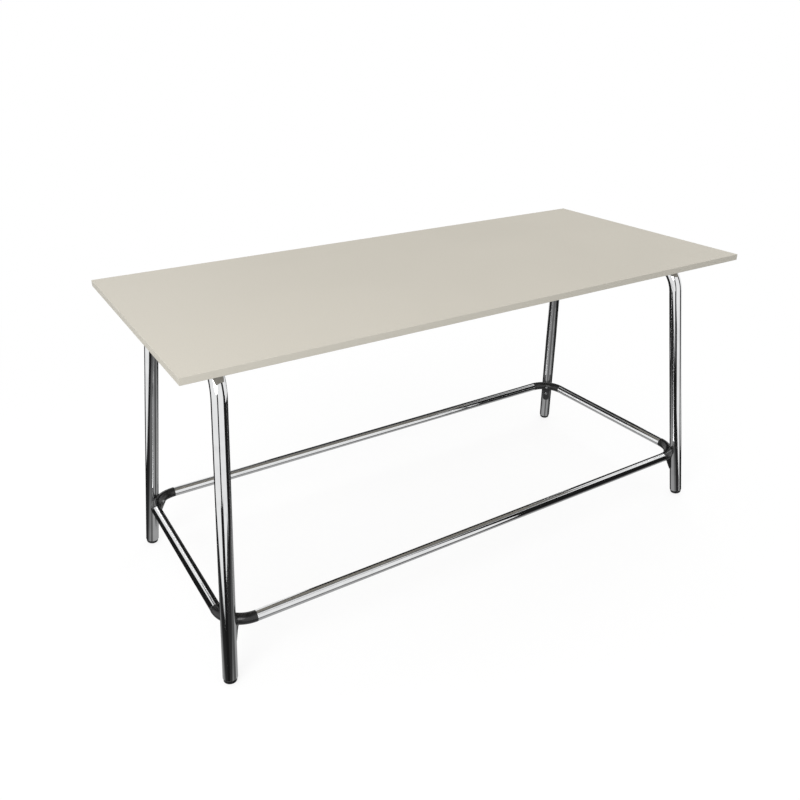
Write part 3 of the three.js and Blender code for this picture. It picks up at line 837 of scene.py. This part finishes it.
class TABLE_OT_mount_plates(bpy.types.Operator):
    """Model the four plates between the rails and the top"""

    bl_idname = "table.mount_plates"
    bl_label = "Mount Plates"

    def execute(self, context):
        lines = TableLines(context.scene)
        for row, side in CORNERS:
            bm = self.plate(lines)
            place(bm, Matrix.Translation(lines.plate_middle(row, side)))
            node = f"mount_plate_{row}_{side}"
            add_piece(bm, f"chrome_{node}", "chrome", TABLE_BODY, node)
        return {"FINISHED"}

    def plate(self, lines):
        """A flat plate with round corners and two screw holes, its top on z = 0."""
        plate = lines.plate
        bm = bmesh.new()
        outline = Matrix.Diagonal((plate.length, plate.width, 1, 1))
        bmesh.ops.create_grid(bm, x_segments=1, y_segments=1, size=0.5, matrix=outline)
        soften(bm, bm.verts[:], plate.corner_radius, PLATE_CORNER_SEGMENTS, affect="VERTICES")
        bmesh.ops.delete(bm, geom=bm.faces[:], context="FACES_ONLY")
        for way in PLATE_SCREWS.values():
            hole = Matrix.Translation((way * plate.screw_spacing / 2, 0, 0))
            ring_of_edges(bm, lines.screw.diameter / 2 + lines.ring.fit_gap, hole, SMALL_SIDES)
        bmesh.ops.triangle_fill(bm, use_beauty=True, use_dissolve=False, edges=bm.edges[:], normal=(0, 0, 1))
        push_out(bm, bm.faces[:], (0, 0, -plate.thickness))
        face_outwards(bm)
        soften(bm, sharp_edges(bm), plate.arris, ARRIS_SEGMENTS)
        return bm


class TABLE_OT_screws(bpy.types.Operator):
    """Model the button-head screws of the mount plates and of the ring's connectors"""

    bl_idname = "table.screws"
    bl_label = "Screws"

    def execute(self, context):
        lines = TableLines(context.scene)
        for row, side in CORNERS:
            self.add_plate_screws(lines, row, side)
            self.add_connector_screws(lines, row, side)
        return {"FINISHED"}

    def add_plate_screws(self, lines, row, side):
        """The two screws that point up through a mount plate."""
        plate = lines.plate
        shank = plate.thickness + plate.insert_length - lines.screw.end_clearance
        for name, way in PLATE_SCREWS.items():
            seat = lines.plate_middle(row, side)
            seat.x += SIDES[side] * way * plate.screw_spacing / 2
            seat.z -= plate.thickness
            head_down = Matrix.Translation(seat) @ Matrix.Rotation(math.pi, 4, "X")
            self.add_screw(lines.screw, f"top_screw_{row}_{side}_{name}", shank, head_down)

    def add_connector_screws(self, lines, row, side):
        """The two screws that go through a connector into the leg."""
        for name in SCREW_PLACES:
            height, seat = lines.screw_seat(name)
            head_in = Matrix.Translation((seat, 0, height)) @ Matrix.Rotation(math.pi / 2, 4, "Y")
            matrix = lines.leg_frame(row, side) @ head_in
            self.add_screw(lines.screw, f"corner_screw_{row}_{side}_{name}", seat - lines.screw_end(), matrix)

    def add_screw(self, screw, node, shank, matrix):
        """A button-head screw with a hexagon socket, its head's seat on z = 0 and its head above."""
        bm = turned(self.outline(screw, shank), SMALL_SIDES)
        land_edges = open_edges(bm)
        socket = Matrix.Translation((0, 0, screw.head_height))
        socket_edges = ring_of_edges(bm, screw.socket / 2, socket, HEXAGON_SIDES)
        bmesh.ops.subdivide_edges(bm, edges=socket_edges, cuts=SMALL_SIDES // HEXAGON_SIDES - 1)
        socket_edges = [edge for edge in bm.edges if edge.is_wire]
        bmesh.ops.bridge_loops(bm, edges=land_edges + socket_edges)
        floor = extend(bm, open_edges(bm), (0, 0, -screw.socket_depth))
        bmesh.ops.poke(bm, faces=bmesh.ops.contextual_create(bm, geom=floor)["faces"])
        face_outwards(bm)
        place(bm, matrix)
        add_piece(bm, f"hex_{node}", "zinc_steel", TABLE_BODY, node)

    def outline(self, screw, shank):
        """A screw's profile, from the middle of its end to the land round its socket."""
        radius, head, land = screw.diameter / 2, screw.head_diameter / 2, screw.socket / 2 + screw.land
        rise = screw.head_height - screw.head_rim
        shaft = [(0, -shank), (radius - screw.point, -shank), (radius, screw.point - shank), (radius, 0)]
        dome = [
            (land + (head - land) * math.cos(angle), screw.head_rim + rise * math.sin(angle))
            for angle in angles_between(0, math.pi / 2, HEAD_STEPS)
        ]
        return shaft + [(head, 0)] + dome


class TABLE_OT_ring_tubes(bpy.types.Operator):
    """Model the four straight tubes of the ring near the floor"""

    bl_idname = "table.ring_tubes"
    bl_label = "Ring Tubes"

    def execute(self, context):
        lines = TableLines(context.scene)
        stop = lines.joint.bend_radius + lines.ring.fit_gap
        for row, way in ROWS.items():
            middle = Vector((0, way * lines.ring_y, lines.ring.height))
            self.add_tube(lines, f"ring_tube_{row}", middle, Vector((lines.ring_x - stop, 0, 0)))
        for side, way in SIDES.items():
            middle = Vector((way * lines.ring_x, 0, lines.ring.height))
            self.add_tube(lines, f"ring_tube_{side}", middle, Vector((0, lines.ring_y - stop, 0)))
        return {"FINISHED"}

    def add_tube(self, lines, node, middle, half):
        """A straight tube that reaches half its length to each side of its middle."""
        bm = bmesh.new()
        start = frame_along(middle - half, half.normalized())
        extend(bm, ring_of_edges(bm, lines.ring_radius, start, TUBE_SIDES), 2 * half)
        thicken(bm, lines.ring.wall, lines.leg.rim)
        add_piece(bm, f"chrome_{node}", "chrome", TABLE_BODY, node)


class TABLE_OT_ring_corners(bpy.types.Operator):
    """Model the black connectors at the ring's corners, each an elbow that runs into a tongue on the leg"""

    bl_idname = "table.ring_corners"
    bl_label = "Ring Corners"

    def execute(self, context):
        lines = TableLines(context.scene)
        shape = self.blended(lines)
        self.add_spigots(lines, shape)
        shape = self.hollowed(lines, shape)
        for row, side in CORNERS:
            bm = shape.copy()
            place(bm, lines.corner_frame(row, side))
            node = f"ring_corner_{row}_{side}"
            add_piece(bm, f"moulded_{node}", "black_plastic", TABLE_BODY, node)
        shape.free()
        return {"FINISHED"}

    def arms(self, lines):
        """Where the ring's two lines cross, and the direction of each arm, in the corner's frame."""
        crossing = Vector((-math.sqrt(2) * lines.ring.outside_leg, 0, 0))
        return crossing, [Vector((1, way, 0)).normalized() for way in (-1, 1)]

    def blended(self, lines):
        """The elbow, made longer at both ends, and the tongue, rounded into each other."""
        joint = lines.joint
        bm = bmesh.new()
        self.add_elbow(lines, bm)
        self.add_tongue(lines, bm)
        rough = add_object(bm, "connector_rough")
        grid = rough.modifiers.new("blend_grid", "REMESH")
        grid.mode = "VOXEL"
        grid.voxel_size = joint.blend_grid
        bm = after_modifiers(rough)
        every_way = {"use_axis_x": True, "use_axis_y": True, "use_axis_z": True}
        for _ in range(joint.blend_passes):
            bmesh.ops.smooth_vert(bm, verts=bm.verts[:], factor=joint.blend_factor, **every_way)
        return bm

    def add_elbow(self, lines, bm):
        """A quarter bend between the arms, with spare lengths that are cut off later."""
        bend_radius, spare = lines.joint.bend_radius, lines.connector_radius
        crossing, (first, second) = self.arms(lines)
        start = frame_along(crossing + first * (bend_radius + spare), -first)
        centre = crossing + Vector((math.sqrt(2) * bend_radius, 0, 0))
        edges = ring_of_edges(bm, lines.connector_radius, start, TUBE_SIDES, capped=True)
        edges = extend(bm, edges, -first * spare)
        edges = spin(bm, edges, math.pi / 2, BEND_STEPS, centre, (0, 0, -1))
        edges = extend(bm, edges, second * spare)
        bmesh.ops.contextual_create(bm, geom=edges)
        face_outwards(bm)

    def add_tongue(self, lines, bm):
        """The tongue's outline pushed out from inside the leg, then cut back to its sloping face."""
        tongue = self.tongue_outline(lines)
        push_out(tongue, tongue.faces[:], (lines.elbow_face + lines.connector_radius, 0, 0))
        face_top = Vector((lines.tongue_face(lines.face_top), 0, lines.face_top))
        face_tip = Vector((lines.tongue_face(lines.tongue_tip), 0, lines.tongue_tip))
        elbow = Vector((lines.elbow_from_leg, 0, lines.upper_screw))
        for downward in (face_tip - face_top, face_top - elbow):
            cut_and_cap(tongue, face_top, (-downward.z, 0, downward.x))
        face_outwards(tongue)
        place(tongue, lines.leaned)
        carrier = bpy.data.meshes.new("connector_tongue")
        tongue.to_mesh(carrier)
        tongue.free()
        bm.from_mesh(carrier)
        bpy.data.meshes.remove(carrier)

    def tongue_outline(self, lines):
        """A flat outline inside the leg, from the round tip up to the flare that runs into the elbow."""
        joint = lines.joint
        half, flare = joint.tongue_width / 2, joint.flare_width / 2
        shoulder = lines.tongue_tip + joint.tip_rounding
        flare_turn = lines.upper_screw - lines.connector_radius
        flare_start = flare_turn - joint.flare_height
        bm = bmesh.new()
        start = Matrix.Translation((lines.leg_radius / 2, 0, shoulder)) @ Matrix.Rotation(math.pi / 2, 4, "Y")
        oval = start @ Matrix.Diagonal((joint.tip_rounding, half, 1, 1))
        bmesh.ops.create_circle(bm, cap_ends=True, segments=SMALL_SIDES, radius=1, matrix=oval)
        edges = cut_away(bm, (0, 0, shoulder), (0, 0, 1))
        edges = extend(bm, edges, (0, 0, flare_start - shoulder))
        width, height = half, flare_start
        for step in range(1, FLARE_STEPS + 1):
            done = step / FLARE_STEPS
            left = 1 - done
            wider = half + (flare - half) * done**2
            higher = left**2 * flare_start + 2 * left * done * flare_turn + done**2 * lines.upper_screw
            edges = extend(bm, edges, (0, 0, higher - height))
            ends = {vert for edge in edges for vert in edge.verts}
            bmesh.ops.scale(bm, verts=list(ends), vec=(1, wider / width, 1))
            width, height = wider, higher
        return bm

    def add_spigots(self, lines, bm):
        """Cuts the elbow's ends off square and draws the shoulder and spigot out of each."""
        joint, ring = lines.joint, lines.ring
        crossing, arms = self.arms(lines)
        chamfer = joint.shoulder_chamfer
        inner = lines.ring_radius - ring.wall - ring.fit_gap
        steps = ((chamfer, lines.connector_radius - chamfer), (0, inner), (joint.spigot_length, inner))
        for arm in arms:
            cut = crossing + arm * (joint.bend_radius - chamfer)
            to_section = frame_along(cut, arm).inverted()
            caps = cut_and_cap(bm, cut, arm)
            width = lines.connector_radius
            for out, radius in steps:
                verts, ends = push_out(bm, caps, arm * out)
                bmesh.ops.delete(bm, geom=caps, context="FACES_ONLY")
                narrower = radius / width
                bmesh.ops.scale(bm, verts=verts, vec=(narrower, narrower, 1), space=to_section)
                caps, width = ends, radius
        face_outwards(bm)

    def hollowed(self, lines, bm):
        """Hollows the connector to clasp the leg and bores it for its two screws."""
        solid = add_object(bm, "connector_solid")
        cutters = [self.leg_cutter(lines)] + [self.screw_cutter(lines, name) for name in SCREW_PLACES]
        for cutter in cutters:
            cut = solid.modifiers.new(cutter.name, "BOOLEAN")
            cut.operation = "DIFFERENCE"
            cut.solver = "EXACT"
            cut.object = cutter
        bm = after_modifiers(solid)
        for cutter in cutters:
            remove_object(cutter)
        clean_cuts(bm)
        return bm

    def leg_cutter(self, lines):
        """A cylinder a little wider than the leg, long enough to pass right through the connector."""
        radius = lines.leg_radius + lines.ring.fit_gap
        reach = 2 * lines.joint.tongue_length
        bm = bmesh.new()
        bmesh.ops.create_cone(
            bm,
            cap_ends=True,
            segments=CLASP_SIDES,
            radius1=radius,
            radius2=radius,
            depth=2 * reach,
            matrix=lines.leaned,
        )
        return add_object(bm, "leg_cutter")

    def screw_cutter(self, lines, name):
        """A bore from the leg's axis out to the screw's seat, and the wider seat beyond it."""
        bore = lines.screw.diameter / 2 + lines.ring.fit_gap
        wide = lines.screw.head_diameter / 2 + lines.joint.seat_margin
        height, seat = lines.screw_seat(name)
        end = seat + 2 * lines.connector_radius
        bm = turned([(0, 0), (bore, 0), (bore, seat), (wide, seat), (wide, end), (0, end)], SMALL_SIDES)
        outward = Matrix.Translation((0, 0, height)) @ Matrix.Rotation(math.pi / 2, 4, "Y")
        place(bm, lines.leaned @ outward)
        return add_object(bm, f"screw_cutter_{name}")


class TABLE_OT_glides(bpy.types.Operator):
    """Model the black levelling glides and their threaded stems"""

    bl_idname = "table.glides"
    bl_label = "Levelling Glides"

    def execute(self, context):
        lines = TableLines(context.scene)
        for row, side in CORNERS:
            node, body = f"levelling_glide_{row}_{side}", f"glide_{row}_{side}"
            matrix = lines.leg_frame(row, side) @ Matrix.Translation((0, 0, lines.dome_bottom))
            foot = self.foot(lines)
            place(foot, matrix)
            cut_and_cap(foot, (0, 0, 0), (0, 0, -1))
            face_outwards(foot)
            add_piece(foot, f"glide_foot_{row}_{side}", "black_plastic", body, node)
            stem = self.stem(lines)
            place(stem, matrix)
            add_piece(stem, f"glide_stem_{row}_{side}", "zinc_steel", body, node)
        return {"FINISHED"}

    def foot(self, lines):
        """The domed foot, its lowest point on z = 0."""
        glide = lines.glide
        radius = lines.leg_radius - glide.setback
        reach = math.asin((radius - glide.edge) / glide.dome_radius)
        dome = [
            (glide.dome_radius * math.sin(angle), glide.dome_radius * (1 - math.cos(angle)))
            for angle in angles_between(0, reach, DOME_STEPS)
        ]
        fillet = glide.edge / (1 - math.sin(reach))
        middle_out, middle_up = radius - fillet, dome[-1][1] + fillet * math.cos(reach)
        edge = [
            (middle_out + fillet * math.sin(angle), middle_up - fillet * math.cos(angle))
            for angle in angles_between(reach, math.pi / 2, DOME_EDGE_STEPS)
        ]
        top = glide.height - lines.ring.fit_gap
        rim = [(radius, top - glide.rim), (radius - glide.rim, top), (0, top)]
        return turned(dome + edge[1:] + rim, TUBE_SIDES)

    def stem(self, lines):
        """The stem: a thread that climbs its pitch in every turn, cut off square at both ends."""
        glide = lines.glide
        pitch, depth = glide.thread_pitch, glide.thread_depth
        root = glide.stem_diameter / 2 - depth
        bottom = glide.height - lines.ring.fit_gap
        top = bottom + glide.stem_length
        start = bottom - TURNS_BELOW * pitch
        turns = TURNS_BELOW + math.ceil(glide.stem_length / pitch) + TURNS_ABOVE
        bm = bmesh.new()
        tooth = profile_line(bm, [(root + depth * out, start + pitch * up) for up, out in THREAD_TOOTH])
        spin(bm, tooth, 2 * math.pi * turns, THREAD_STEPS * turns, rise=pitch / THREAD_STEPS)
        weld(bm, WELD_DISTANCE)
        cut_and_cap(bm, (0, 0, bottom), (0, 0, -1))
        cut_and_cap(bm, (0, 0, top), (0, 0, 1))
        clean_cuts(bm)
        face_outwards(bm)
        return bm


class TABLE_OT_inner_fixings(bpy.types.Operator):
    """Finish the inserts, rivet nuts and leg plugs, which keep their CAD shapes inside the table"""

    bl_idname = "table.inner_fixings"
    bl_label = "Inner Fixings"

    def execute(self, context):
        for row, side in CORNERS:
            for name in PLATE_SCREWS:
                dress(f"threaded_insert_{row}_{side}_{name}", "zinc_steel")
            for name in SCREW_PLACES:
                dress(f"rivet_nut_{row}_{side}_{name}", "zinc_steel")
            dress(f"leg_plug_{row}_{side}", "black_plastic")
        return {"FINISHED"}


class TABLE_OT_stage(bpy.types.Operator):
    """Set up the pale floor, the soft studio light and the camera"""

    bl_idname = "table.stage"
    bl_label = "Stage"

    def execute(self, context):
        scene = context.scene
        stage = scene.table_stage
        scene.view_settings.view_transform = "Standard"
        self.add_floor(stage)
        self.light_world(scene, stage)
        self.add_lamp(scene, "key_lamp", stage.key_place, stage.key_size, stage.key_power)
        fill = self.add_lamp(scene, "fill_lamp", stage.fill_place, stage.fill_size, stage.fill_power)
        fill.visible_glossy = False
        self.add_camera(scene, stage)
        return {"FINISHED"}

    def seen_by_eye(self, tree):
        """A mask of the rays that look at the stage: straight, mirrored or through glass."""
        path = add_node(tree, "ShaderNodeLightPath").outputs
        plain = maths(tree, "MAXIMUM", path["Is Camera Ray"], path["Is Glossy Ray"])
        return maths(tree, "MAXIMUM", plain, path["Is Transmission Ray"])

    def add_floor(self, stage):
        """A wide floor, which gloss doesn't mirror because the mirrored studio has a floor of its own."""
        bm = bmesh.new()
        bmesh.ops.create_grid(bm, x_segments=1, y_segments=1, size=stage.floor_reach)
        floor = add_object(bm, "studio_floor")
        floor.data.materials.append(self.pale_floor(stage))
        floor.visible_glossy = False

    def pale_floor(self, stage):
        """A floor that reads as white, keeps the table's shadow and is clear from below."""
        material, tree = new_material("pale_floor")
        glow = 1 - stage.floor_light * stage.floor_shade
        shaded = add_node(tree, "ShaderNodeBsdfDiffuse", {"Color": grey(stage.floor_shade)})
        glowing = add_node(tree, "ShaderNodeEmission", {"Color": grey(1), "Strength": glow})
        near = add_node(tree, "ShaderNodeAddShader", {0: shaded.outputs[0], 1: glowing.outputs[0]})
        far = add_node(tree, "ShaderNodeEmission", {"Color": grey(1), "Strength": 1})
        spots = add_node(tree, "ShaderNodeTexCoord").outputs["Object"]
        distance = add_node(tree, "ShaderNodeVectorMath", {0: spots}, operation="LENGTH").outputs["Value"]
        away = spread(tree, distance, stage.shadow_fade, stage.shadow_end, curve="SMOOTHSTEP")
        seen = mixed(tree, away, near.outputs[0], far.outputs[0])
        bounced = add_node(tree, "ShaderNodeBsdfDiffuse", {"Color": grey(stage.floor_bounce)})
        upper = mixed(tree, self.seen_by_eye(tree), bounced.outputs[0], seen)
        clear = add_node(tree, "ShaderNodeBsdfTransparent")
        from_below = add_node(tree, "ShaderNodeNewGeometry").outputs["Backfacing"]
        both = mixed(tree, from_below, upper, clear.outputs[0])
        add_node(tree, "ShaderNodeOutputMaterial", {"Surface": both})
        material.cycles.emission_sampling = "NONE"
        return material

    def light_world(self, scene, stage):
        """A world that reads as white, lights the table evenly and gives gloss a studio to mirror."""
        world = bpy.data.worlds.new("studio")
        world.use_nodes = True
        tree = world.node_tree
        tree.nodes.clear()
        even = add_node(tree, "ShaderNodeBackground", {"Color": grey(1), "Strength": stage.dome_light})
        backdrop = add_node(tree, "ShaderNodeBackground", {"Color": grey(1), "Strength": 1})
        studio = add_node(tree, "ShaderNodeBackground", {"Color": self.mirrored_studio(tree), "Strength": 1})
        mirrored = add_node(tree, "ShaderNodeLightPath").outputs["Is Glossy Ray"]
        plain = mixed(tree, self.seen_by_eye(tree), even.outputs[0], backdrop.outputs[0])
        whole = mixed(tree, mirrored, plain, studio.outputs[0])
        add_node(tree, "ShaderNodeOutputWorld", {"Surface": whole})
        scene.world = world

    def mirrored_studio(self, tree):
        """The shade that gloss mirrors each way: light walls, dark flags, a dark floor and a ceiling."""
        direction = add_node(tree, "ShaderNodeTexCoord").outputs["Object"]
        parts = add_node(tree, "ShaderNodeSeparateXYZ", {0: direction}).outputs
        bearing = maths(tree, "ARCTAN2", parts["Y"], parts["X"])
        elevation = maths(tree, "ARCSINE", parts["Z"])
        quarter = math.pi / 2
        ramp = add_node(tree, "ShaderNodeValToRGB", {"Fac": spread(tree, elevation, -quarter, quarter)})
        stops = ramp.color_ramp.elements
        stops.remove(stops[1])
        for number, (degrees, level) in enumerate(STUDIO_SHADES):
            stop = stops.new((degrees + 90) / 180) if number else stops[0]
            stop.color = grey(level)
        tone = ramp.outputs["Color"]
        for first, last, lowest, highest, level in STUDIO_CARDS.values():
            across = self.within(tree, bearing, first, last)
            upward = self.within(tree, elevation, lowest, highest)
            inside = maths(tree, "MULTIPLY", across, upward)
            card = {"Fac": inside, "Color1": tone, "Color2": grey(level)}
            tone = add_node(tree, "ShaderNodeMixRGB", card).outputs["Color"]
        return tone

    def within(self, tree, angle, low, high):
        """A mask of the directions whose angle lies between two values in degrees."""
        return maths(tree, "COMPARE", angle, math.radians((low + high) / 2), math.radians((high - low) / 2))

    def add_lamp(self, scene, name, stand, size, power):
        """A large soft lamp that the camera doesn't see."""
        lamp = bpy.data.lights.new(name, "AREA")
        lamp.shape = "DISK"
        lamp.size = size
        lamp.energy = power
        made = bpy.data.objects.new(name, lamp)
        made.location = stand
        to_target = Vector(scene.table_stage.lamp_target) - Vector(stand)
        made.rotation_euler = to_target.to_track_quat("-Z", "Y").to_euler()
        made.visible_camera = False
        scene.collection.objects.link(made)
        return made

    def add_camera(self, scene, stage):
        lens = bpy.data.cameras.new("studio_camera")
        lens.lens = stage.lens
        lens.sensor_width = SENSOR_WIDTH
        lens.clip_end = SIGHT
        camera = bpy.data.objects.new("studio_camera", lens)
        camera.location = stage.camera_place
        camera.rotation_euler = stage.camera_turn
        scene.collection.objects.link(camera)
        scene.camera = camera


# Panel and registration

SETTINGS = {
    "table_top": (TabletopSizes, "Top"),
    "table_leg": (LegSizes, "End frames"),
    "table_plate": (PlateSizes, "Mount plates"),
    "table_ring": (RingSizes, "Ring"),
    "table_connector": (ConnectorSizes, "Ring corners"),
    "table_screw": (ScrewSizes, "Screws"),
    "table_glide": (GlideSizes, "Glides"),
    "table_colours": (FinishColours, "Finishes"),
    "table_stage": (StageSettings, "Stage"),
}
OPERATORS = (
    TABLE_OT_top,
    TABLE_OT_end_frames,
    TABLE_OT_mount_plates,
    TABLE_OT_screws,
    TABLE_OT_ring_tubes,
    TABLE_OT_ring_corners,
    TABLE_OT_glides,
    TABLE_OT_inner_fixings,
    TABLE_OT_stage,
)


class TABLE_PT_pieces(bpy.types.Panel):
    """Sizes, finishes and pieces of the table"""

    bl_idname = "TABLE_PT_pieces"
    bl_label = "Standing Meeting Table"
    bl_space_type = "VIEW_3D"
    bl_region_type = "UI"
    bl_category = "Table"

    def draw(self, context):
        for name, (group, label) in SETTINGS.items():
            box = self.layout.box()
            box.label(text=label)
            for prop in group.__annotations__:
                box.prop(getattr(context.scene, name), prop)
        for operator in OPERATORS:
            self.layout.operator(operator.bl_idname)


CLASSES = tuple(group for group, _ in SETTINGS.values()) + OPERATORS + (TABLE_PT_pieces,)


def register():
    for cls in CLASSES:
        bpy.utils.register_class(cls)
    for name, (group, _) in SETTINGS.items():
        setattr(bpy.types.Scene, name, bpy.props.PointerProperty(type=group))


def unregister():
    for name in SETTINGS:
        delattr(bpy.types.Scene, name)
    for cls in reversed(CLASSES):
        bpy.utils.unregister_class(cls)


def main():
    register()
    bpy.ops.table.top()
    bpy.ops.table.end_frames()
    bpy.ops.table.mount_plates()
    bpy.ops.table.screws()
    bpy.ops.table.ring_tubes()
    bpy.ops.table.ring_corners()
    bpy.ops.table.glides()
    bpy.ops.table.inner_fixings()
    bpy.ops.table.stage()


if __name__ == "__main__":
    main()
